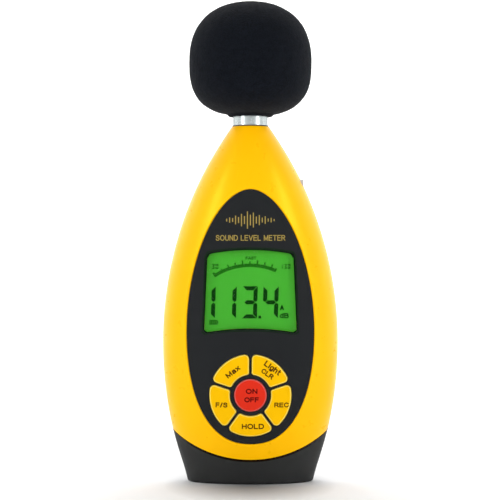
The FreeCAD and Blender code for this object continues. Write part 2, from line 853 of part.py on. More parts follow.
def build_batteries():
    for number in CELLS:
        x = cell_x(number)
        up = points_up(number)
        low = "cell_low" if up else "cell_low + 0.8"
        can = rod("cell_can", "cell_radius", (x, "cell_depth", low), "cell_length - 0.8", "Z")
        nub_low = "cell_low + cell_length - 0.8" if up else "cell_low"
        nub = rod("cell_nub", "1.9", (x, "cell_depth", nub_low), "0.8", "Z")
        keep(f"battery_{number}", fuse(f"battery_{number}_body", can, nub))


def build_tray():
    rim = "tray_rim"
    outside = block(
        "tray_outside",
        ("-tray_half_width - tray_wall", "tray_half_width + tray_wall"),
        ("cell_depth - cell_radius - fit_gap - tray_wall", rim),
        ("tray_low - tray_wall", "tray_high + tray_wall"),
    )
    inside = block(
        "tray_inside",
        ("-tray_half_width", "tray_half_width"),
        ("cell_depth - cell_radius - fit_gap", "20"),
        ("tray_low", "tray_high"),
    )
    keep("battery_tray", cut("battery_tray_cut", outside, inside))


def build_contacts():
    """Flat plates for the raised poles, arched leaf springs for the flat ones."""
    plates, springs = [], []
    depth = ("cell_depth - 3.6", "cell_depth + 1.6")
    for number in CELLS:
        x = cell_x(number)
        across = (f"{x} - 3.8", f"{x} + 3.8")
        for top in (False, True):
            wall = "tray_high - contact_thick" if top else "tray_low"
            plate = block("contact_plate", across, depth, (wall, f"{wall} + contact_thick"))
            if top == points_up(number):
                plates.append(plate)
                continue
            springs.append(fuse("leaf_spring", plate, leaf_arch(x, top)))
    keep("battery_contacts", group("Part::Compound", "contact_set", "Links", plates))
    keep("battery_springs", group("Part::Compound", "spring_set", "Links", springs))


def leaf_arch(x, top):
    """A shallow arch of strip whose crown touches the cell."""
    reach = "cell_low - tray_low" if not top else "tray_high - cell_low - cell_length"
    radius = f"(({reach})^2 + 9) / (2 * ({reach}))"
    base = "tray_low" if not top else "tray_high"
    sign = "1" if not top else "-1"
    centre = f"{base} + {sign} * (({reach}) - {radius})"
    outer_rod = rod("arch_outer", radius, (f"{x}", "cell_depth - 3.6", centre), "5.2")
    inner_rod = rod("arch_inner", f"{radius} - contact_thick", (f"{x}", "cell_depth - 4", centre), "6")
    depth = ("cell_depth - 4", "cell_depth + 3")
    keep_side = block("arch_side", around(x, 3.4), depth, ("tray_low", "tray_high"))
    ring = cut("arch_ring", outer_rod, inner_rod)
    return common("arch", ring, keep_side)


def build_door():
    skin = cut("door_skin", outer, inner_loft)
    patch = common("door_patch", skin, door_window("door_extent", "0", ("parting + 1", "20")))
    rib_depth = ("cell_depth + cell_radius + 1.4", "15")
    rib_heights = ("cell_low + 2", "cell_low + cell_length - 2")
    ribs = [block("door_rib", around(x, 0.6), rib_depth, rib_heights) for x in (-8.0, 0.0, 8.0)]
    clipped = common("door_ribs", fuse("door_rib_set", *ribs), tongue_form)
    grips = []
    for step in range(6):
        height = f"door_high - 5 - 1.7 * {step}"
        grips.append(rod("door_grip", "0.6", ("-7", half_depth(f"({height})"), height), "14", "X"))
    keep("battery_door", cut("battery_door_cut", fuse("door_body", patch, clipped), *grips))
    pad_depth = ("cell_depth + cell_radius + 0.1", "cell_depth + cell_radius + 1.4")
    keep("door_pad", block("door_pad_block", around(0, 13), pad_depth, around(50, 4)))


# --- fasteners, tripod insert and leads ----------------------------------------------------------
def build_case_screws():
    screws = []
    for x, z, seat in CASE_SCREWS:
        shaft = rod("case_screw_shaft", "screw_radius", (x, f"{seat} - screw_length", z), "screw_length")
        head = rod("case_screw_head", "screw_head_radius", (x, seat, z), "screw_head_thick")
        cross_depth = (f"{seat} + screw_head_thick - 0.9", f"{seat} + 5")
        bits = [
            block("screw_cross", around(x, across), cross_depth, around(z, up))
            for across, up in ((1.2, 0.25), (0.25, 1.2))
        ]
        screws.append(cut("case_screw", fuse("case_screw_blank", shaft, head), *bits))
    keep("case_screws", group("Part::Compound", "case_screw_set", "Links", screws))


def build_tripod_insert():
    length = "tripod_outer - tripod_inner"
    body = rod("insert_body", "tripod_radius", ("0", "tripod_inner", "tripod_height"), length)
    thread = rod("insert_bore", "tripod_bore", ("0", "tripod_inner - 1", "tripod_height"), "12")
    middle = ("0", "(tripod_inner + tripod_outer) / 2", "tripod_height")
    ring = primitive("Part::Torus", "insert_groove", middle, "Y", Radius1="tripod_radius", Radius2="0.5")
    keep("tripod_insert", cut("tripod_insert_cut", body, thread, ring))


def bent_lead(name, points):
    """A round wire along straight runs joined by tangent arcs."""
    start, corner, end = points
    into = (corner - start).normalize()
    away = (end - corner).normalize()
    bend = 0.45 * min((corner - start).Length, (end - corner).Length)
    arc_start = corner - into * bend
    arc_end = corner + away * bend
    centre = arc_start + away * bend
    middle = centre + (corner - centre).normalize() * bend
    edges = [
        Part.LineSegment(start, arc_start).toShape(),
        Part.Arc(arc_start, middle, arc_end).toShape(),
        Part.LineSegment(arc_end, end).toShape(),
    ]
    section = Part.Wire(Part.makeCircle(size("lead_radius"), start, into))
    lead = doc.addObject("Part::Feature", name)
    lead.Shape = Part.Wire(edges).makePipeShell([section], True, False)
    return place(lead, ("0", "0", "0"))


def build_leads():
    board_back = size("board_thick") - size("board_front")
    barrel_low = size("barrel_low")
    mic_leads = []
    for x in (-2.5, 0.0, 2.5):
        corner = Vector(x, 0, barrel_low - 8)
        points = [Vector(x, board_back, corner.z), corner, Vector(x, 0, barrel_low)]
        mic_leads.append(bent_lead("mic_wire", points))
    keep("mic_leads", group("Part::Compound", "mic_lead_set", "Links", mic_leads))
    tray_top = size("tray_high") + size("tray_wall")
    for name, x in (("battery_lead_plus", 15.0), ("battery_lead_minus", -15.0)):
        corner = Vector(x, 2.5, tray_top + 6.5)
        points = [Vector(x, corner.y, tray_top), corner, Vector(x, board_back, corner.z)]
        keep(name, bent_lead(f"{name}_wire", points))


build_front_shell()
build_rear_shell()
build_panel()
for key_name in KEYS:
    build_key(key_name)
build_keypad_mat()
build_display()
build_board()
build_trimmer()
build_microphone()
build_windscreen()
build_batteries()
build_tray()
build_contacts()
build_door()
build_case_screws()
build_tripod_insert()
build_leads()
doc.recompute()

# --- check and write ------------------------------------------------------------------------------
for item in doc.Objects:
    if "Invalid" in item.State or "Error" in item.State:
        raise RuntimeError(f"{item.Label} failed: {item.State}")
for name, item in parts.items():
    if item.Shape.isNull() or not item.Shape.isValid():
        raise RuntimeError(f"{name} has no valid shape")

os.makedirs("parts", exist_ok=True)
for name, item in parts.items():
    item.Shape.exportStep(f"parts/{name}.step")
    print(f"{name}: {len(item.Shape.Solids)} solid(s), {item.Shape.Volume:.1f} mm3")
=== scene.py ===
import math

import bmesh
import bpy
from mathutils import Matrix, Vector, noise


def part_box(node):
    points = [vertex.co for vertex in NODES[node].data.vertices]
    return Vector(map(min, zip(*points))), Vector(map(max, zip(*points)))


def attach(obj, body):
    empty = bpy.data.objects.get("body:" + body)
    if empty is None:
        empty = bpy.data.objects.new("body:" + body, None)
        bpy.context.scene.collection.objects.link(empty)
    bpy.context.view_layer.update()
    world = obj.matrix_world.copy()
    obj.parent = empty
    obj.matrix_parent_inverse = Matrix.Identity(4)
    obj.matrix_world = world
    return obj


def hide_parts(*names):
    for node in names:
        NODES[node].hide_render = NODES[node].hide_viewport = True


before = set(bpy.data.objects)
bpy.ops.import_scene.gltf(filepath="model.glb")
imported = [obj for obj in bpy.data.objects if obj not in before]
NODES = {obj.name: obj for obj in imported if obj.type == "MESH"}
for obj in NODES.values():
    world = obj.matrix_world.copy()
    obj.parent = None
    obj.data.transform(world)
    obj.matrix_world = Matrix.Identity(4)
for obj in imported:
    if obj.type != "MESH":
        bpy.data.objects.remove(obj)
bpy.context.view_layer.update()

# A hand-held sound level meter, standing upright. Metres, +Z up, the display faces -Y.
MM = 0.001

# --- places that the looks are worked out from ----------------------------------------------------
PANEL_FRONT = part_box("front_panel")[0].y
GLASS_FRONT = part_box("lcd_glass")[0].y
KEY_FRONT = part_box("key_power")[0].y
FOAM_LOW, FOAM_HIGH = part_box("windscreen")
BARREL_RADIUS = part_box("mic_grid")[1].x
NECK_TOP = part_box("front_shell")[1].z
PANEL_CROWN = 100 * MM  # radius that the panel is bent to
LENS_THICK = 1.2 * MM
INK = 0.03 * MM  # how far print stands off its surface


def crown_depth(x, front, radius):
    """Depth of a surface bent about an upright axis, whose nearest line is at front."""
    return front + radius - math.sqrt(radius * radius - x * x)


def on_panel(x):
    return crown_depth(x, PANEL_FRONT, PANEL_CROWN)


def on_keys(x):
    proud = PANEL_FRONT - KEY_FRONT
    return crown_depth(x, KEY_FRONT, PANEL_CROWN + proud)


def on_glass(x):
    return GLASS_FRONT


def behind_lens(x):
    return on_panel(x) + LENS_THICK


# --- material building blocks ---------------------------------------------------------------------
def linear(red, green, blue):
    """A colour given in display values from 0 to 255, as the light values that shaders take."""
    def channel(value):
        value /= 255
        return value / 12.92 if value <= 0.04045 else ((value + 0.055) / 1.055) ** 2.4

    return (channel(red), channel(green), channel(blue), 1)


def add(tree, kind, **inputs):
    """A new node, whose inputs are set to values or linked to other nodes' outputs."""
    node = tree.nodes.new(kind)
    for name, value in inputs.items():
        socket = node.inputs[name.replace("_", " ")]
        if isinstance(value, bpy.types.NodeSocket):
            tree.links.new(value, socket)
        else:
            socket.default_value = value
    return node


def object_place(tree):
    return tree.nodes.new("ShaderNodeTexCoord").outputs["Object"]


def speckle(tree, scale, detail=3.0):
    """Noise in the object's own space; scale is in features per metre."""
    place = object_place(tree)
    node = add(tree, "ShaderNodeTexNoise", Vector=place, Scale=scale, Detail=detail, Roughness=0.55)
    return node.outputs["Fac"]


def between(tree, factor, low, high, start=0.3, end=0.7):
    """Maps a factor from start..end onto low..high."""
    node = add(tree, "ShaderNodeMapRange", Value=factor)
    for name, value in (("From Min", start), ("From Max", end), ("To Min", low), ("To Max", high)):
        node.inputs[name].default_value = value
    return node.outputs["Result"]


def multiplied(tree, first, second):
    node = tree.nodes.new("ShaderNodeMath")
    node.operation = "MULTIPLY"
    tree.links.new(first, node.inputs[0])
    tree.links.new(second, node.inputs[1])
    return node.outputs[0]


def length_of(tree, vector):
    node = add(tree, "ShaderNodeVectorMath", Vector=vector)
    node.operation = "LENGTH"
    return node.outputs["Value"]


# Where a Mix node that is set to colours keeps its two inputs and its result.
MIX_FIRST, MIX_SECOND, MIX_RESULT = 6, 7, 2


def blended(tree, factor, first, second):
    """The first colour where the factor is 0 and the second where it is 1."""
    node = tree.nodes.new("ShaderNodeMix")
    node.data_type = "RGBA"
    tree.links.new(factor, node.inputs["Factor"])
    for place, value in ((MIX_FIRST, first), (MIX_SECOND, second)):
        if isinstance(value, bpy.types.NodeSocket):
            tree.links.new(value, node.inputs[place])
        else:
            node.inputs[place].default_value = value
    return node.outputs[MIX_RESULT]


def scaled(colour, share):
    return (*(channel * share for channel in colour[:3]), 1)


def sharp_edge_mask(tree):
    """1 on sharp outer edges and 0 elsewhere."""
    flat, sharp = 0.52, 0.60
    geometry = tree.nodes.new("ShaderNodeNewGeometry")
    return between(tree, geometry.outputs["Pointiness"], 0.0, 1.0, flat, sharp)


def painted_rim_highlight(tree):
    """Where a painted highlight goes: 0 on faces that look straight out of the front and 1 where they turn
    away.
    """
    straight_out, turned_away = -0.982, -0.93
    place = tree.nodes.new("ShaderNodeTexCoord")
    parts = add(tree, "ShaderNodeSeparateXYZ", Vector=place.outputs["Normal"])
    return between(tree, parts.outputs["Y"], 0.0, 1.0, straight_out, turned_away)


# Features per metre of the broad changes of colour and of gloss over a surface.
COLOUR_PATCHES, GLOSS_PATCHES = 90, 260


def surface(name, colour, rough, grain, depth, mottling=0.08, edge=0.0, metal=0.0, rim=None, **sockets):
    """A moulded, cast or plated surface: mottled colour, uneven gloss and fine grain.

    rough is a (low, high) pair of roughness, grain is in features per metre and depth in metres.
    mottling is how far the colour strays, edge how much brighter sharp edges are, and rim the colour of a
    painted highlight on edges that turn away from the front. sockets are further inputs of the shader.
    """
    material = bpy.data.materials.new(name)
    material.use_nodes = True
    tree = material.node_tree
    shader = tree.nodes["Principled BSDF"]
    patches = speckle(tree, COLOUR_PATCHES)
    tint = blended(tree, patches, scaled(colour, 1 - mottling), scaled(colour, 1 + mottling / 2))
    # Sharp edges are made lighter by the edge share.
    if edge:
        tint = blended(tree, sharp_edge_mask(tree), tint, scaled(colour, 1 + edge))
    # Painted highlight: edges that turn away from the front take the rim colour.
    if rim:
        tint = blended(tree, painted_rim_highlight(tree), tint, rim)
    tree.links.new(tint, shader.inputs["Base Color"])
    tree.links.new(between(tree, speckle(tree, GLOSS_PATCHES), *rough), shader.inputs["Roughness"])
    shader.inputs["Metallic"].default_value = metal
    bump = add(tree, "ShaderNodeBump", Height=speckle(tree, grain, 2.0), Distance=depth)
    bump.inputs["Strength"].default_value = 0.6
    tree.links.new(bump.outputs["Normal"], shader.inputs["Normal"])
    for socket, value in sockets.items():
        shader.inputs[socket.replace("_", " ")].default_value = value
    return material


def ink(name, colour, rough=0.45):
    """Dull printing ink."""
    roughness = (rough - 0.06, rough + 0.1)
    return surface(name, colour, roughness, 2600, 0.004 * MM, 0.12, Specular_IOR_Level=0.06)


# --- materials ------------------------------------------------------------------------------------
YELLOW = linear(255, 187, 0)
YELLOW_KEY = linear(243, 186, 0)
# Painted highlight colour for the yellow keys' rounded rims.
YELLOW_PAINTED_HIGHLIGHT = linear(248, 220, 96)
RED_KEY = linear(216, 46, 26)
# Painted highlight colour for the red key's rounded rim.
RED_PAINTED_HIGHLIGHT = linear(218, 96, 92)
PANEL_GREY = linear(29, 31, 33)
BASE_GREY = linear(39, 40, 40)
LCD_GREEN = linear(66, 172, 44)
SEGMENT_GREEN = linear(0, 56, 0)
GOLD = linear(162, 142, 72)
KEY_INK = linear(88, 52, 0)
POWER_INK = linear(88, 4, 4)
MASK_GREEN = linear(14, 38, 16)
FAINT_GREEN = linear(26, 104, 12)
LENS_TINT = linear(20, 34, 20)
FOAM_STRUT = linear(17, 21, 28)
# Painted shade colour in the foam's pits.
FOAM_PIT_SHADE = linear(5, 6, 9)

LOOKS = {
    "yellow": surface(
        "yellow_abs", YELLOW, (0.27, 0.31), 1900, 0.005 * MM, 0.02,
        Specular_IOR_Level=1.0, Specular_Tint=(1, 0.74, 0.06, 1),
    ),
    "black": surface(
        "black_abs", BASE_GREY, (0.46, 0.62), 2600, 0.020 * MM, 0.15, 0.6, Specular_IOR_Level=0.17,
    ),
    "panel": surface(
        "panel_print", PANEL_GREY, (0.38, 0.50), 2200, 0.008 * MM, 0.14, Specular_IOR_Level=0.1,
    ),
    "red_key": surface(
        "red_silicone", RED_KEY, (0.5, 0.62), 2400, 0.010 * MM, 0.06,
        rim=RED_PAINTED_HIGHLIGHT, Specular_IOR_Level=0.2, Specular_Tint=(1, 0.35, 0.3, 1),
    ),
    "yellow_key": surface(
        "yellow_silicone", YELLOW_KEY, (0.5, 0.62), 2400, 0.010 * MM, 0.05,
        rim=YELLOW_PAINTED_HIGHLIGHT, Specular_IOR_Level=0.2, Specular_Tint=(1, 0.75, 0.2, 1),
    ),
    "mat": surface("grey_silicone", linear(96, 97, 100), (0.5, 0.65), 1800, 0.01 * MM),
    "gold_pad": surface("gold_flash", linear(230, 190, 92), (0.2, 0.35), 3000, 0.003 * MM, 0.1, 0.0, 1.0),
    "white": surface("white_sheet", linear(232, 232, 226), (0.35, 0.5), 1500, 0.006 * MM, 0.04),
    "zebra": surface("zebra_elastomer", linear(150, 122, 128), (0.6, 0.75), 5000, 0.02 * MM, 0.3),
    "board": surface("solder_resist", linear(22, 110, 58), (0.25, 0.42), 1400, 0.012 * MM, 0.2),
    "chip": surface("epoxy", linear(38, 38, 40), (0.55, 0.7), 3200, 0.012 * MM, 0.18, 0.3),
    "steel": surface("zinc_steel", linear(178, 180, 184), (0.22, 0.42), 2200, 0.006 * MM, 0.12, 0.2, 1.0),
    "brass": surface("turned_brass", linear(214, 170, 88), (0.2, 0.36), 2200, 0.006 * MM, 0.12, 0.2, 1.0),
    "blue": surface("trimmer_blue", linear(32, 80, 170), (0.4, 0.5), 1800, 0.01 * MM),
    "grey": surface("grey_bush", linear(196, 196, 196), (0.4, 0.55), 2200, 0.01 * MM, 0.1, 0.3),
    "tube": surface(
        "plated_tube", linear(180, 188, 188), (0.24, 0.34), 1600, 0.004 * MM, 0.05, 0.05, 0.9,
        Specular_Tint=(0.5, 0.5, 0.5, 1),
    ),
    "foil": surface("metal_foil", linear(205, 205, 210), (0.12, 0.2), 900, 0.004 * MM, 0.06, 0.0, 1.0),
    "seal": surface("nitrile", linear(28, 28, 29), (0.5, 0.65), 2400, 0.01 * MM),
    "sleeve": surface("cell_sleeve", linear(62, 66, 74), (0.22, 0.34), 800, 0.01 * MM, 0.12),
    "red_wire": surface("red_wire", linear(190, 30, 26), (0.35, 0.5), 2200, 0.01 * MM),
    "black_wire": surface("black_wire", linear(30, 30, 31), (0.35, 0.5), 2200, 0.01 * MM),
    # Painted shadow: colour of the dark strip along the shell joint.
    "seam": surface(
        "painted_seam_shadow", linear(24, 14, 2), (0.75, 0.85), 2400, 0.01 * MM, 0.2, Specular_IOR_Level=0.0,
    ),
    "gold_ink": ink("gold_ink", GOLD, 0.35),
    "key_ink": ink("brown_ink", KEY_INK),
    "power_ink": ink("dark_red_ink", POWER_INK),
    "mask": ink("green_black_mask", MASK_GREEN),
}


def lit(name, colour, glow):
    """Display face: coloured film with some light of its own."""
    return surface(
        name, colour, (0.35, 0.5), 700, 0.004 * MM, 0.06,
        Specular_IOR_Level=0.12, Emission_Color=colour, Emission_Strength=glow,
    )


def clear_plastic():
    return surface("clear_acrylic", LENS_TINT, (0.03, 0.08), 300, 0.004 * MM, 0.02, Alpha=0.03)


def foam():
    """Open-cell foam: pits darkened by painted shade between paler struts, and a soft sheen at the rim."""
    cells_per_metre, clumps_per_metre = 2300.0, 700
    material = bpy.data.materials.new("open_cell_foam")
    material.use_nodes = True
    tree = material.node_tree
    shader = tree.nodes["Principled BSDF"]
    cells = add(tree, "ShaderNodeTexVoronoi", Vector=object_place(tree), Scale=cells_per_metre)
    pit_depth_and_shade = between(tree, cells.outputs["Distance"], 1.0, 0.0, 0.15, 0.75)
    clumps = speckle(tree, clumps_per_metre, 4.0)
    tone = multiplied(tree, pit_depth_and_shade, between(tree, clumps, 0.5, 1.2))
    # Painted shade: the pits are darker than the struts.
    tree.links.new(blended(tree, tone, FOAM_STRUT, FOAM_PIT_SHADE), shader.inputs["Base Color"])
    tree.links.new(between(tree, clumps, 0.85, 1.0), shader.inputs["Roughness"])
    shader.inputs["Specular IOR Level"].default_value = 0.06
    shader.inputs["Sheen Weight"].default_value = 0.025
    shader.inputs["Sheen Roughness"].default_value = 0.5
    bump = add(tree, "ShaderNodeBump", Height=pit_depth_and_shade, Distance=0.12 * MM)
    bump.inputs["Strength"].default_value = 0.8
    bump.invert = True
    tree.links.new(bump.outputs["Normal"], shader.inputs["Normal"])
    return material


LOOKS["display"] = lit("display_green", LCD_GREEN, 0.03)
LOOKS["segment"] = ink("display_segment", SEGMENT_GREEN)
LOOKS["faint_segment"] = ink("display_arc", FAINT_GREEN)
LOOKS["lens"] = clear_plastic()
LOOKS["foam"] = foam()

# --- which CAD node wears what --------------------------------------------------------------------
DRESS = {
    "yellow": ["front_shell"],
    "black": ["rear_shell", "battery_door", "battery_tray"],
    "panel": ["front_panel"],
    "lens": ["display_lens"],
    "red_key": ["key_power"],
    "yellow_key": ["key_hold", "key_fast_slow", "key_max", "key_light", "key_record"],
    "mat": ["keypad_mat"],
    "gold_pad": ["contact_pads"],
    "display": ["lcd_glass"],
    "white": ["backlight_panel", "lcd_frame", "barrel_insulator"],
    "zebra": ["zebra_strips"],
    "board": ["main_board", "preamp_board"],
    "chip": ["board_chips", "board_passives", "preamp_chip"],
    "steel": ["board_screws", "battery_contacts", "battery_springs", "case_screws"],
    "brass": ["tripod_insert", "trimmer_rotor"],
    "blue": ["trimmer_body"],
    "grey": ["calibration_bush"],
    "tube": ["mic_barrel", "mic_capsule", "mic_grid"],
    "foil": ["mic_diaphragm"],
    "seal": ["barrel_seal"],
    "sleeve": [f"battery_{number}" for number in (1, 2, 3, 4)],
    "red_wire": ["mic_leads", "battery_lead_plus"],
    "black_wire": ["battery_lead_minus"],
    "foam": ["door_pad"],
}
for look, names in DRESS.items():
    for name in names:
        NODES[name].data.materials.clear()
        NODES[name].data.materials.append(LOOKS[look])


# --- mesh helpers ---------------------------------------------------------------------------------
def bridge(mesh, rows, closed=False):
    """Faces between each row of vertices and the next, and from the last to the first if closed."""
    ends = rows + rows[:1] if closed else rows
    for near, far in zip(ends, ends[1:]):
        for here in range(len(near)):
            after = (here + 1) % len(near)
            mesh.faces.new((near[here], near[after], far[after], far[here]))


def cap(mesh, rows):
    """Closes the two ends of a bridge."""
    mesh.faces.new(rows[0])
    mesh.faces.new(reversed(rows[-1]))


def ring(mesh, radius, height, turns):
    """Vertices round the upright axis."""
    angles = [2 * math.pi * turn / turns for turn in range(turns)]
    return [mesh.verts.new((radius * math.cos(a), radius * math.sin(a), height)) for a in angles]


def finish_mesh(mesh, name, look, body, smooth=False):
    """Turns a bmesh into a piece that rides on a body."""
    bmesh.ops.recalc_face_normals(mesh, faces=mesh.faces)
    data = bpy.data.meshes.new(name)
    mesh.to_mesh(data)
    mesh.free()
    data.materials.append(LOOKS[look])
    if smooth:
        data.shade_smooth()
    piece = bpy.data.objects.new(name, data)
    bpy.context.scene.collection.objects.link(piece)
    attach(piece, body)
    return piece


def printed(name, outlines, depth_at, look):
    """Thin plates of ink, one for each outline of (x, z) points, lying on a surface of the meter."""
    mesh = bmesh.new()
    for outline in outlines:
        rows = [[mesh.verts.new((x, depth_at(x) + lift, z)) for x, z in outline] for lift in (-INK, INK)]
        bridge(mesh, rows)
        cap(mesh, rows)
    finish_mesh(mesh, name, look, "meter")


# --- letters --------------------------------------------------------------------------------------
# Each letter is its width and its strokes, on a grid where capitals are 1 high. A stroke of CURVE_POINTS
# points or more is a smooth curve, and a shorter one is straight lines.
CURVE_POINTS = 6
LETTER_GAP = 0.26
BOWL = [
    (0.44, 0.52), (0.34, 0.68), (0.2, 0.72), (0.05, 0.58), (0, 0.36), (0.05, 0.14), (0.2, 0), (0.34, 0.05),
    (0.44, 0.2),
]
GLYPHS = {
    " ": (0.22, []),
    "/": (0.3, [[(0, 0), (0.3, 1)]]),
    "A": (0.68, [[(0, 0), (0.34, 1), (0.68, 0)], [(0.13, 0.35), (0.55, 0.35)]]),
    "B": (0.56, [
        [(0, 0), (0, 1)],
        [(0, 1), (0.2, 1), (0.38, 0.98), (0.5, 0.88), (0.5, 0.66), (0.38, 0.56), (0.2, 0.54), (0, 0.54)],
        [(0, 0.54), (0.3, 0.54), (0.48, 0.48), (0.56, 0.28), (0.5, 0.08), (0.32, 0), (0.15, 0), (0, 0)],
    ]),
    "C": (0.64, [[
        (0.62, 0.76), (0.52, 0.94), (0.34, 1), (0.13, 0.9), (0.01, 0.66), (0, 0.38), (0.11, 0.1), (0.33, 0),
        (0.53, 0.07), (0.64, 0.28),
    ]]),
    "D": (0.62, [
        [(0, 0), (0, 1)],
        [(0, 1), (0.28, 1), (0.5, 0.92), (0.62, 0.66), (0.62, 0.34), (0.5, 0.08), (0.28, 0), (0, 0)],
    ]),
    "E": (0.54, [[(0.54, 1), (0, 1), (0, 0), (0.54, 0)], [(0, 0.53), (0.5, 0.53)]]),
    "F": (0.5, [[(0.5, 1), (0, 1), (0, 0)], [(0, 0.52), (0.44, 0.52)]]),
    "H": (0.58, [[(0, 0), (0, 1)], [(0.58, 0), (0.58, 1)], [(0, 0.53), (0.58, 0.53)]]),
    "L": (0.48, [[(0, 1), (0, 0), (0.48, 0)]]),
    "M": (0.7, [[(0, 0), (0, 1), (0.35, 0.08), (0.7, 1), (0.7, 0)]]),
    "N": (0.58, [[(0, 0), (0, 1), (0.58, 0), (0.58, 1)]]),
    "O": (0.72, [[
        (0.36, 1), (0.14, 0.9), (0.01, 0.64), (0.01, 0.36), (0.14, 0.1), (0.36, 0), (0.58, 0.1), (0.71, 0.36),
        (0.71, 0.64), (0.58, 0.9), (0.36, 1),
    ]]),
    "R": (0.6, [
        [(0, 0), (0, 1)],
        [(0, 1), (0.3, 1), (0.48, 0.96), (0.56, 0.76), (0.48, 0.56), (0.3, 0.5), (0, 0.5)],
        [(0.32, 0.5), (0.6, 0)],
    ]),
    "S": (0.58, [[
        (0.56, 0.76), (0.46, 0.94), (0.28, 1), (0.09, 0.92), (0.04, 0.74), (0.14, 0.6), (0.3, 0.53),
        (0.47, 0.45), (0.57, 0.28), (0.49, 0.07), (0.28, 0), (0.08, 0.07), (0, 0.26),
    ]]),
    "T": (0.6, [[(0, 1), (0.6, 1)], [(0.3, 1), (0.3, 0)]]),
    "U": (0.58, [[
        (0, 1), (0, 0.6), (0, 0.3), (0.08, 0.07), (0.29, 0), (0.5, 0.07), (0.58, 0.3), (0.58, 0.6), (0.58, 1),
    ]]),
    "V": (0.66, [[(0, 1), (0.33, 0), (0.66, 1)]]),
    "a": (0.46, [
        [(0.03, 0.55), (0.12, 0.69), (0.28, 0.72), (0.42, 0.64), (0.45, 0.45), (0.45, 0.2), (0.46, 0)],
        [(0.45, 0.42), (0.22, 0.38), (0.05, 0.3), (0.01, 0.14), (0.12, 0.01), (0.3, 0.03), (0.45, 0.2)],
    ]),
    "d": (0.44, [[(0.44, 0), (0.44, 1)], BOWL]),
    "g": (0.44, [BOWL, [(0.44, 0.72), (0.44, 0.4), (0.44, 0), (0.38, -0.22), (0.2, -0.28), (0.04, -0.2)]]),
    "h": (0.42, [
        [(0, 0), (0, 1)],
        [(0, 0.5), (0.1, 0.67), (0.24, 0.72), (0.38, 0.64), (0.42, 0.45), (0.42, 0)],
    ]),
    "i": (0.04, [[(0.02, 0), (0.02, 0.72)], [(0.02, 0.9), (0.02, 1)]]),
    "t": (0.28, [
        [(0, 0.72), (0.28, 0.72)],
        [(0.12, 1), (0.12, 0.6), (0.12, 0.3), (0.13, 0.1), (0.19, 0.01), (0.28, 0.01)],
    ]),
    "x": (0.44, [[(0, 0), (0.44, 0.72)], [(0, 0.72), (0.44, 0)]]),
}


def is_loop(points):
    return (points[0] - points[-1]).length < 1e-6


def smoothed(points):
    """A curve through the points (a Catmull-Rom spline), if there are enough of them."""
    steps = 4
    points = [Vector(point) for point in points]
    if len(points) < CURVE_POINTS:
        return points
    ends = [2 * points[0] - points[1], *points, 2 * points[-1] - points[-2]]
    if is_loop(points):
        ends[0], ends[-1] = points[-2], points[1]
    curve = []
    for before, here, after, beyond in zip(ends, ends[1:], ends[2:], ends[3:]):
        for step in range(steps):
            t = step / steps
            slope_in, slope_out = (after - before) / 2, (beyond - here) / 2
            cubic = 2 * here - 2 * after + slope_in + slope_out
            square = 3 * after - 3 * here - 2 * slope_in - slope_out
            curve.append(cubic * t ** 3 + square * t * t + slope_in * t + here)
    return curve + [points[-1]]


def straight_runs(points):
    """Cuts a line into pieces at its sharp corners."""
    runs = [[points[0]]]
    for before, here, after in zip(points, points[1:], points[2:]):
        runs[-1].append(here)
        if (here - before).dot(after - here) < 0:
            runs.append([here])
    runs[-1].append(points[-1])
    return runs


def ribbon(points, wide):
    """The two sides of a stroke of even width along the points, with mitred corners."""
    least_mitre = 1.6  # keeps the mitre of a sharp corner short
    ahead = [(after - here).normalized() for here, after in zip(points, points[1:])]
    closed = is_loop(points)
    first_way = ahead[-1] if closed else ahead[0]
    last_way = ahead[0] if closed else ahead[-1]
    sides = []
    for point, into, away in zip(points, [first_way] + ahead, ahead + [last_way]):
        across = Vector((-into.y - away.y, into.x + away.x))
        across *= wide / max(across.length_squared, least_mitre)
        sides.append((point + across, point - across))
    return sides


def plate(mesh, sides, depth_at, thick=INK):
    """A thin closed strip of ink between two sides, lying on a surface."""
    rows = []
    for pair in sides:
        front, back = (
            [mesh.verts.new((corner.x, depth_at(corner.x) + lift, corner.y)) for corner in pair]
            for lift in (-thick, thick)
        )
        rows.append((*front, *reversed(back)))
    bridge(mesh, rows)
    cap(mesh, rows)


def stretched(run, stroke):
    """A run of a stroke, made longer at both ends so that strokes run into each other."""
    if (run[0] - run[-1]).length <= stroke / 4:
        return run
    overrun = 0.4  # of the stroke's width
    first, last = (run[1] - run[0]).normalized(), (run[-1] - run[-2]).normalized()
    return [run[0] - first * stroke * overrun, *run[1:-1], run[-1] + last * stroke * overrun]


def lettering(name, text, height, width, place, depth_at, look, weight, body="meter", turn=0.0):
    """Printed words, centred on a place (x, z), laid on a surface.

    weight is the stroke's width as a share of the height, and turn is in radians.
    """
    stroke = height * weight
    natural = sum(GLYPHS[letter][0] + LETTER_GAP for letter in text) - LETTER_GAP
    tall = height - stroke
    wide = (width - stroke) / natural
    cosine, sine = math.cos(turn), math.sin(turn)
    mesh = bmesh.new()
    start = 0
    count = 0
    for letter in text:
        letter_width, strokes = GLYPHS[letter]
        for points in strokes:
            line = []
            for point in smoothed(points):
                across = (start + point.x - natural / 2) * wide
                up = (point.y - 0.5) * tall
                x = place[0] + across * cosine - up * sine
                z = place[1] + across * sine + up * cosine
                line.append(Vector((x, z)))
            for run in straight_runs(line):
                # Runs that cross differ in thickness, so that no two of their faces coincide.
                count += 1
                plate(mesh, ribbon(stretched(run, stroke), stroke), depth_at, INK * (1 + 0.12 * (count % 3)))
        start += letter_width + LETTER_GAP
    finish_mesh(mesh, name, look, body)


# --- display window and what the display shows ----------------------------------------------------
WINDOW_TOP, WINDOW_BOTTOM = 87.2 * MM, 58.0 * MM
WINDOW_TOP_HALF, WINDOW_BOTTOM_HALF = 16.05 * MM, 17.2 * MM  # half widths
WINDOW_TOP_CORNER, WINDOW_BOTTOM_CORNER = 1.6 * MM, 1.1 * MM  # radii
WINDOW_RISE = 1.6 * MM  # how much higher the middle is than the corners, at top and bottom alike


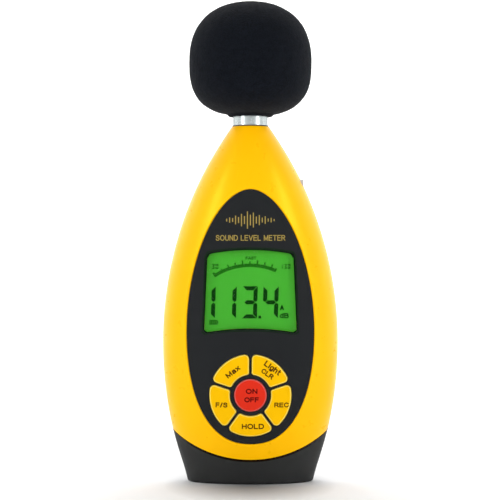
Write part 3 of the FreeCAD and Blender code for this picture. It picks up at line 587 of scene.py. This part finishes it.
def window_outline(inset):
    """Points round the lit opening behind the window, pulled in by the inset."""
    steps = 16
    edges = (
        (WINDOW_TOP - inset, WINDOW_TOP_HALF - inset, WINDOW_TOP_CORNER, 1),
        (WINDOW_BOTTOM + inset, WINDOW_BOTTOM_HALF - inset, WINDOW_BOTTOM_CORNER, -1),
    )
    points = []
    for level, half, corner, side in edges:
        for step in range(-steps, steps + 1):
            share = side * step / steps
            x = half * share
            z = level - WINDOW_RISE * share * share
            over = max(abs(x) - (half - corner), 0)
            z -= side * (corner - math.sqrt(max(corner * corner - over * over, 0)))
            points.append((x, z))
    return points


def build_window_border():
    """Dark border printed on the back of the window, which hides the edge of the opening."""
    outer, inner = -0.75 * MM, 0.04 * MM
    clearance = 0.03 * MM
    mesh = bmesh.new()

    def rim(inset, lift):
        return [mesh.verts.new((x, behind_lens(x) + lift, z)) for x, z in window_outline(inset)]

    front, back = -clearance - INK, -clearance
    bridge(mesh, [rim(outer, front), rim(inner, front), rim(inner, back), rim(outer, back)], closed=True)
    finish_mesh(mesh, "window_border", "mask", "meter")


def build_window_line():
    """Thin dark line on the panel, all round the window."""
    line = bmesh.new()
    inner, outer = (window_outline(inset) for inset in (-0.62 * MM, -0.95 * MM))
    sides = [(Vector(one), Vector(other)) for one, other in zip(inner, outer)]
    plate(line, sides + sides[:1], on_panel)
    finish_mesh(line, "window_line", "mask", "meter")


# Which of a digit's seven bars are on: a is the top one, b to f go on clockwise and g is the middle one.
DIGITS = {"0": "abcdef", "1": "bc", "3": "abcdg", "4": "bcfg"}


def segment_shapes(wide, tall, stroke, gap):
    """The seven bars of a display digit, with mitred ends, from its lower left corner."""
    level, half = tall / 2, stroke / 2
    upper_right = [
        (wide, tall - gap),
        (wide - stroke, tall - stroke - gap),
        (wide - stroke, level + half + gap),
        (wide - half, level + gap),
        (wide, level + stroke / 3 + gap),
    ]
    top = [
        (gap, tall),
        (wide - gap, tall),
        (wide - stroke - gap, tall - stroke),
        (stroke + gap, tall - stroke),
    ]
    middle = [
        (half + gap, level),
        (stroke + gap, level + half),
        (wide - stroke - gap, level + half),
        (wide - half - gap, level),
        (wide - stroke - gap, level - half),
        (stroke + gap, level - half),
    ]

    def mirrored(points, left, down):
        return [(wide - x if left else x, tall - z if down else z) for x, z in points]

    return {
        "a": top,
        "b": upper_right,
        "c": mirrored(upper_right, False, True),
        "d": mirrored(top, False, True),
        "e": mirrored(upper_right, True, True),
        "f": mirrored(upper_right, True, False),
        "g": middle,
    }


def display_digits(text, right, low, pitch, wide, tall, stroke):
    """Outlines of a row of digits that lean a little; right is the right-hand edge of the first."""
    slant = 0.028
    gap = stroke * 0.08
    shapes = segment_shapes(wide, tall, stroke, gap)
    outlines = []
    for number, digit in enumerate(text):
        left = right - wide + pitch * number
        for bar in DIGITS[digit]:
            outlines.append([(left + x + (z - tall / 2) * slant, low + z) for x, z in shapes[bar]])
    return outlines


def arc_band(centre, radius, thick, start, end, steps=28):
    """A band along a circle, between two angles in degrees."""
    angles = [math.radians(start + (end - start) * step / steps) for step in range(steps + 1)]
    directions = [Vector((math.cos(angle), math.sin(angle))) for angle in angles]
    return [(centre + way * (radius + thick / 2), centre + way * (radius - thick / 2)) for way in directions]


def rectangle(x, z, width, height):
    """Corners of an upright rectangle about its middle."""
    return [(x + a * width / 2, z + b * height / 2) for a, b in ((-1, -1), (1, -1), (1, 1), (-1, 1))]


def build_reading():
    """The measured level, in large digits with a point."""
    low, pitch, wide, tall, stroke = 61.7 * MM, 7.82 * MM, 5.7 * MM, 12.0 * MM, 1.52 * MM
    point_x, point_z, point_size = 3.5 * MM, 62.2 * MM, 1.05 * MM
    reading = display_digits("1134", -13.05 * MM, low, pitch, wide, tall, stroke)
    reading.append(rectangle(point_x, point_z, point_size, point_size))
    printed("display_reading", reading, on_glass, "segment")


def build_scale():
    """The curved bar above the reading, with its two end caps and a row of ticks."""
    centre, radius, band = Vector((-0.2 * MM, 57.4 * MM)), 24.1 * MM, 1.25 * MM
    left_end, right_end = 121.5, 67.2
    left_cap, right_cap = 123.5, 66.0
    scale = bmesh.new()
    plate(scale, arc_band(centre, radius, band, left_end, right_end), on_glass)
    plate(scale, arc_band(centre, radius + 0.25 * MM, 1.9 * MM, left_cap, left_end, 3), on_glass)
    plate(scale, arc_band(centre, radius + 0.2 * MM, 1.5 * MM, right_end, right_cap, 3), on_glass)
    tick_lengths = (0.5, 1.0, 1.0, 1.35, 0.8, 1.4, 1.1, 1.2)
    first_tick, tick_pitch, tick_half_width = 115.2, 6.33, 0.65
    foot = radius + band / 2
    for tick, length in enumerate(tick_lengths):
        angle = first_tick - tick_pitch * tick
        long = length * MM
        sides = arc_band(centre, foot + long / 2, long, angle + tick_half_width, angle - tick_half_width, 1)
        plate(scale, sides, on_glass)
    finish_mesh(scale, "display_scale", "faint_segment", "meter")


def build_limits():
    """The two ends of the scale, in small digits."""
    low, tall, stroke = 80.1 * MM, 1.9 * MM, 0.5 * MM
    limits = display_digits("30", -13.35 * MM, low, 1.45 * MM, 1.15 * MM, tall, stroke)
    limits += display_digits("130", 12.15 * MM, low, 1.4 * MM, 1.05 * MM, tall, stroke)
    printed("display_limits", limits, on_glass, "faint_segment")


# piece, word, height, width, place of the middle (x, z), look and weight
DISPLAY_WORDS = (
    ("display_fast", "FAST", 1.2, 4.0, (0.2, 84.2), "faint_segment", 0.25),
    ("display_weighting", "A", 1.9, 1.5, (11.75, 65.7), "segment", 0.27),
    ("display_unit", "dB", 1.95, 3.4, (12.6, 62.75), "segment", 0.21),
)


def build_display_words():
    for name, word, height, width, (x, z), look, weight in DISPLAY_WORDS:
        lettering(name, word, height * MM, width * MM, (x * MM, z * MM), on_glass, look, weight)


def build_battery_sign():
    """Outline of a battery with three full cells and its end contact."""
    x, z = -13.75 * MM, 60.25 * MM
    icon = [rectangle(x, z + side * 0.7 * MM, 3.1 * MM, 0.34 * MM) for side in (-1, 1)]
    icon += [rectangle(x + side * 1.42 * MM, z, 0.28 * MM, 1.2 * MM) for side in (-1, 1)]
    icon += [rectangle(x + cell * 0.8 * MM, z, 0.66 * MM, 1.1 * MM) for cell in (-1, 0, 1)]
    icon.append(rectangle(x + 1.7 * MM, z, 0.3 * MM, 0.7 * MM))
    printed("display_battery", icon, on_glass, "faint_segment")


# --- lettering on the panel and keys --------------------------------------------------------------
def build_title():
    height, width, place, weight = 2.1 * MM, 25.8 * MM, (0.05 * MM, 91.7 * MM), 0.145
    lettering("panel_title", "SOUND LEVEL METER", height, width, place, on_panel, "gold_ink", weight)


# Heights of the bars of the wave mark, as shares of the tallest.
WAVE_LEVELS = (
    0.16, 0.3, 0.22, 0.5, 0.34, 0.72, 0.46, 1.0, 0.62, 0.86, 0.4, 0.58, 0.28, 0.44, 0.18, 0.26, 0.12,
)


def build_wave_mark():
    """A plain mark of upright bars, like a sound's waveform."""
    middle_z, width, tallest, bar = 98.3 * MM, 17.6 * MM, 6.4 * MM, 0.38 * MM
    last = len(WAVE_LEVELS) - 1
    pitch = width / last
    bars = []
    for number, level in enumerate(WAVE_LEVELS):
        bars.append(rectangle((number - last / 2) * pitch, middle_z, bar, tallest * level))
    printed("panel_wave_mark", bars, on_panel, "gold_ink")


# key, word, height, width, place of the middle (x, z) and turn in degrees
KEY_WORDS = (
    ("key_max", "Max", 2.0, 5.9, (-6.5, 42.1), 38),
    ("key_light", "Light", 2.2, 6.9, (8.25, 43.45), -36),
    ("key_light", "CLR", 1.9, 5.0, (6.35, 41.3), -36),
    ("key_fast_slow", "F/S", 1.9, 4.4, (-10.7, 29.75), 0),
    ("key_record", "REC", 1.8, 5.4, (11.55, 29.75), 0),
    ("key_hold", "HOLD", 2.0, 8.2, (0.9, 21.85), 0),
    ("key_power", "ON", 1.9, 4.3, (0.45, 34.85), 0),
    ("key_power", "OFF", 1.9, 5.4, (0.45, 31.7), 0),
)
KEY_WEIGHT = 0.22


def build_key_print():
    for key, word, height, width, (x, z), degrees in KEY_WORDS:
        name = f"{key}_word_{word.replace('/', '_')}"
        look = "power_ink" if key == "key_power" else "key_ink"
        turn = math.radians(degrees)
        place = (x * MM, z * MM)
        lettering(name, word, height * MM, width * MM, place, on_keys, look, KEY_WEIGHT, key, turn)


build_window_border()
build_window_line()
build_reading()
build_scale()
build_limits()
build_display_words()
build_battery_sign()
build_title()
build_wave_mark()
build_key_print()

# --- windscreen -----------------------------------------------------------------------------------
# How square the ball is below and above its widest line: 2 would be an ellipse.
LOWER_SHAPE = 2.8
UPPER_SHAPE = 2.3
FOAM_MIDDLE = 158.3 * MM  # height of the widest line
BORE_RADIUS = BARREL_RADIUS + 0.1 * MM
BORE_ROOF = 163.2 * MM


def windscreen_profile():
    """Radius and height along the foam: out and down the bore, round its lip and up over the ball."""
    widest = FOAM_HIGH.x + 0.08 * MM
    top = FOAM_HIGH.z - 0.5 * MM
    low = FOAM_LOW.z + 0.15 * MM
    lip_radius, lip_drop = 0.9 * MM, 0.5 * MM
    wall_steps, lip_steps, lower_steps, upper_steps = 10, 6, 36, 44
    points = [(0.0, BORE_ROOF), (BORE_RADIUS * 0.5, BORE_ROOF)]
    for step in range(wall_steps + 1):
        points.append((BORE_RADIUS, BORE_ROOF + (low + lip_drop - BORE_ROOF) * step / wall_steps))
    for step in range(1, lip_steps):
        angle = math.pi * step / lip_steps
        outwards, up = lip_radius * (1 - math.cos(angle)), lip_drop * (1 - math.sin(angle))
        points.append((BORE_RADIUS + outwards, low + up))
    foot_radius, foot_rise = BORE_RADIUS + 2.4 * MM, 0.4 * MM
    first = math.asin(min(foot_radius / widest, 1) ** (LOWER_SHAPE / 2))
    for step in range(lower_steps + 1):
        angle = first + (math.pi / 2 - first) * step / lower_steps
        drop = (FOAM_MIDDLE - low - foot_rise) * math.cos(angle) ** (2 / LOWER_SHAPE)
        points.append((widest * math.sin(angle) ** (2 / LOWER_SHAPE), FOAM_MIDDLE - drop))
    for step in range(1, upper_steps + 1):
        angle = math.pi / 2 * step / upper_steps
        rise = (top - FOAM_MIDDLE) * math.sin(angle) ** (2 / UPPER_SHAPE)
        radius = 0 if step == upper_steps else widest * math.cos(angle) ** (2 / UPPER_SHAPE)
        points.append((radius, FOAM_MIDDLE + rise))
    return points


def roughen(mesh):
    """Moves the foam's outside in and out by a fraction of a millimetre, and leaves the bore smooth."""
    clear_radius, clear_top = BARREL_RADIUS + 1.6 * MM, 164 * MM
    centre = Vector((0, 0, 158 * MM))
    lumps_per_metre, lump_height = 260, 0.10 * MM
    grains_per_metre, grain_height = 1400, 0.07 * MM
    inwards = 0.05 * MM
    for vertex in mesh.verts:
        place = vertex.co
        if math.hypot(place.x, place.y) < clear_radius and place.z < clear_top:
            continue
        lump = noise.noise(place * lumps_per_metre) * lump_height
        grain = noise.noise(place * grains_per_metre) * grain_height
        vertex.co = place + (place - centre).normalized() * (lump + grain - inwards)


def build_windscreen():
    turns = 220
    mesh = bmesh.new()
    rings = []
    for radius, height in windscreen_profile():
        if radius == 0:
            rings.append([mesh.verts.new((0, 0, height))])
        else:
            rings.append(ring(mesh, radius, height, turns))
    for lower, upper in zip(rings, rings[1:]):
        for turn in range(turns):
            after = (turn + 1) % turns
            corners = [lower[turn % len(lower)], lower[after % len(lower)]]
            corners += [upper[after % len(upper)], upper[turn % len(upper)]]
            mesh.faces.new(list(dict.fromkeys(corners)))
    roughen(mesh)
    piece = finish_mesh(mesh, "foam_ball", "foam", "windscreen", smooth=True)
    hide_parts("windscreen")


def build_neck_shadow_ring():
    """Painted shadow: a dark ring over the gap between the microphone tube and the neck, where the neck's top
    lies in shade.
    """
    inner, outer = BARREL_RADIUS + 0.02 * MM, BARREL_RADIUS + 0.35 * MM
    low, high = NECK_TOP, NECK_TOP + 0.45 * MM
    chamfer = 0.12 * MM
    section = [(inner, low), (outer, low), (outer, high - chamfer), (outer - chamfer, high), (inner, high)]
    turns = 96
    mesh = bmesh.new()
    rows = []
    for turn in range(turns):
        angle = 2 * math.pi * turn / turns
        cosine, sine = math.cos(angle), math.sin(angle)
        rows.append([mesh.verts.new((radius * cosine, radius * sine, z)) for radius, z in section])
    bridge(mesh, rows, closed=True)
    finish_mesh(mesh, "neck_shadow_ring", "seal", "meter")


build_windscreen()
build_neck_shadow_ring()


# --- painted shadow along the joint between the two shells ----------------------------------------
def first_hit(name, x, z):
    """Depth at which a line of sight along +Y first meets a CAD node, or None."""
    node = NODES[name]
    inverse = node.matrix_world.inverted()
    start = inverse @ Vector((x, -1, z))
    way = (inverse.to_3x3() @ Vector((0, 1, 0))).normalized()
    hit, place, _, _ = node.ray_cast(start, way)
    return (node.matrix_world @ place).y if hit else None


def shows_yellow(x, z):
    """Whether the front view shows the yellow shell rather than the black one at a place."""
    front, rear = first_hit("front_shell", x, z), first_hit("rear_shell", x, z)
    return front is not None and (rear is None or front < rear)


def seam_height(x):
    """Height at which the yellow shell takes over from the black one, going up the front."""
    lowest, highest, pace, accuracy = 6 * MM, 30 * MM, 0.5 * MM, 0.005 * MM
    high = lowest
    while not shows_yellow(x, high):
        high += pace
        if high > highest:
            return None
    low = high - pace
    while high - low > accuracy:
        middle = (low + high) / 2
        if shows_yellow(x, middle):
            high = middle
        else:
            low = middle
    return high


def seam_section(x):
    """Corners (z, depth) of the painted shadow strip at x, or None where no joint shows."""
    width, proud, sunk = 0.85 * MM, 0.03 * MM, 0.05 * MM
    height = seam_height(x)
    if height is None:
        return None
    # Right at the joint the line of sight enters the gap, so the depth is taken a little lower.
    upper_depth = first_hit("rear_shell", x, height - 0.35 * MM)
    lower_depth = first_hit("rear_shell", x, height - width)
    if upper_depth is None or lower_depth is None:
        return None
    levels = [(height - 0.03 * MM, upper_depth), (height - width, lower_depth)]
    return [(z, depth - proud) for z, depth in levels] + [(z, depth + sunk) for z, depth in reversed(levels)]


def build_painted_seam_shadow():
    """Painted shadow in the joint between the two shells: a dark strip lying on the black one."""
    steps, reach = 72, 29.4 * MM
    mesh = bmesh.new()
    rows = []
    for step in range(steps + 1):
        x = reach * (2 * step / steps - 1)
        section = seam_section(x)
        if section:
            rows.append([mesh.verts.new((x, depth, z)) for z, depth in section])
    bridge(mesh, rows)
    cap(mesh, rows)
    finish_mesh(mesh, "seam_painted_shadow", "seam", "meter")


build_painted_seam_shadow()


# --- stage, light and camera ----------------------------------------------------------------------
PAPER_WHITE = (0.88, 0.88, 0.88, 1)
# Colour of the painted shadow before the base.
PAINTED_SHADOW_GREY = (0.22, 0.22, 0.22, 1)


def paper():
    """White paper with a painted shadow just before the base; it glows as painted light further out, more
    behind than in front.
    """
    material = surface("paper", PAPER_WHITE, (0.7, 0.85), 300, 0.02 * MM, 0.01)
    tree = material.node_tree
    shader = tree.nodes["Principled BSDF"]
    place = object_place(tree)
    # How far a place is from the base's front, where a step in depth counts as 0.6 of a step across.
    from_front = add(tree, "ShaderNodeMapping", Vector=place, Scale=(1, 0.6, 0), Location=(0, 7.2 * MM, 0))
    # Painted shadow: the paper darkens towards the base's front.
    painted_shadow = between(tree, length_of(tree, from_front.outputs["Vector"]), 0.0, 1.0, 3 * MM, 32 * MM)
    tree.links.new(blended(tree, painted_shadow, PAINTED_SHADOW_GREY, PAPER_WHITE), shader.inputs["Base Color"])
    depth = add(tree, "ShaderNodeSeparateXYZ", Vector=place).outputs["Y"]
    # The glow fades to almost nothing near the object, so the painted shadow there stays dark.
    further_out = between(tree, length_of(tree, place), low=0.03, high=0.75, start=0.06, end=0.8)
    further_back = between(tree, depth, low=0.18, high=1.0, start=-0.5, end=0.3)
    tree.links.new(multiplied(tree, further_out, further_back), shader.inputs["Emission Strength"])
    shader.inputs["Emission Color"].default_value = (1, 1, 1, 1)
    return material


def build_stage():
    """A round white sweep: floor, curve and wall in one sheet."""
    middle, floor, bend, height = 0.3, 1.5, 0.7, 2.4
    turns, bend_steps = 64, 12
    outline = [(middle, 0.0), (floor, 0.0)]
    for step in range(1, bend_steps + 1):
        angle = math.pi / 2 * step / bend_steps
        outline.append((floor + bend * math.sin(angle), bend - bend * math.cos(angle)))
    outline.append((floor + bend, height))
    mesh = bmesh.new()
    rows = [ring(mesh, radius, z, turns) for radius, z in outline]
    mesh.faces.new(rows[0])
    bridge(mesh, rows[::-1])
    data = bpy.data.meshes.new("sweep")
    mesh.to_mesh(data)
    mesh.free()
    data.shade_smooth()
    data.materials.append(paper())
    sweep = bpy.data.objects.new("sweep", data)
    bpy.context.scene.collection.objects.link(sweep)


# name, place, what it points at, width and height, power in watts
SOFTBOXES = (
    ("left_strip", (-0.75, -0.6, 0.22), (0, 0, 0.09), (0.18, 0.8), 3.2),
    ("right_strip", (0.75, -0.6, 0.22), (0, 0, 0.09), (0.18, 0.8), 3.2),
    ("top_light", (0, 0.45, 1.0), (0, 0, 0), (0.7, 0.7), 5.5),
)
WORLD_LIGHT = 0.15


def build_softboxes():
    """Area lights that light the object without showing in any view."""
    for name, place, target, size, power in SOFTBOXES:
        data = bpy.data.lights.new(name, "AREA")
        data.shape = "RECTANGLE"
        data.size, data.size_y = size
        data.energy = power
        lamp = bpy.data.objects.new(name, data)
        lamp.location = place
        lamp.rotation_euler = (Vector(target) - Vector(place)).to_track_quat("-Z", "Y").to_euler()
        lamp.visible_camera = False
        bpy.context.scene.collection.objects.link(lamp)


def build_world():
    """Faint even light from all round."""
    world = bpy.data.worlds.new("studio")
    world.use_nodes = True
    background = world.node_tree.nodes["Background"]
    background.inputs["Color"].default_value = (1, 1, 1, 1)
    background.inputs["Strength"].default_value = WORLD_LIGHT
    bpy.context.scene.world = world


def build_camera():
    """Looks level at the front, from a little below the middle of the meter."""
    sensor_width = 36
    distance, view_width = 0.700, 0.189
    sideways, height = -0.15 * MM, 87.2 * MM
    data = bpy.data.cameras.new("camera")
    data.sensor_width = sensor_width
    data.lens = sensor_width * distance / view_width
    data.clip_start = 0.01
    data.clip_end = 20
    camera = bpy.data.objects.new("camera", data)
    camera.location = (sideways, -distance, height)
    camera.rotation_euler = (math.pi / 2, 0, 0)
    bpy.context.scene.collection.objects.link(camera)
    bpy.context.scene.camera = camera


build_stage()
build_softboxes()
build_world()
build_camera()
bpy.context.scene.view_settings.view_transform = "Standard"
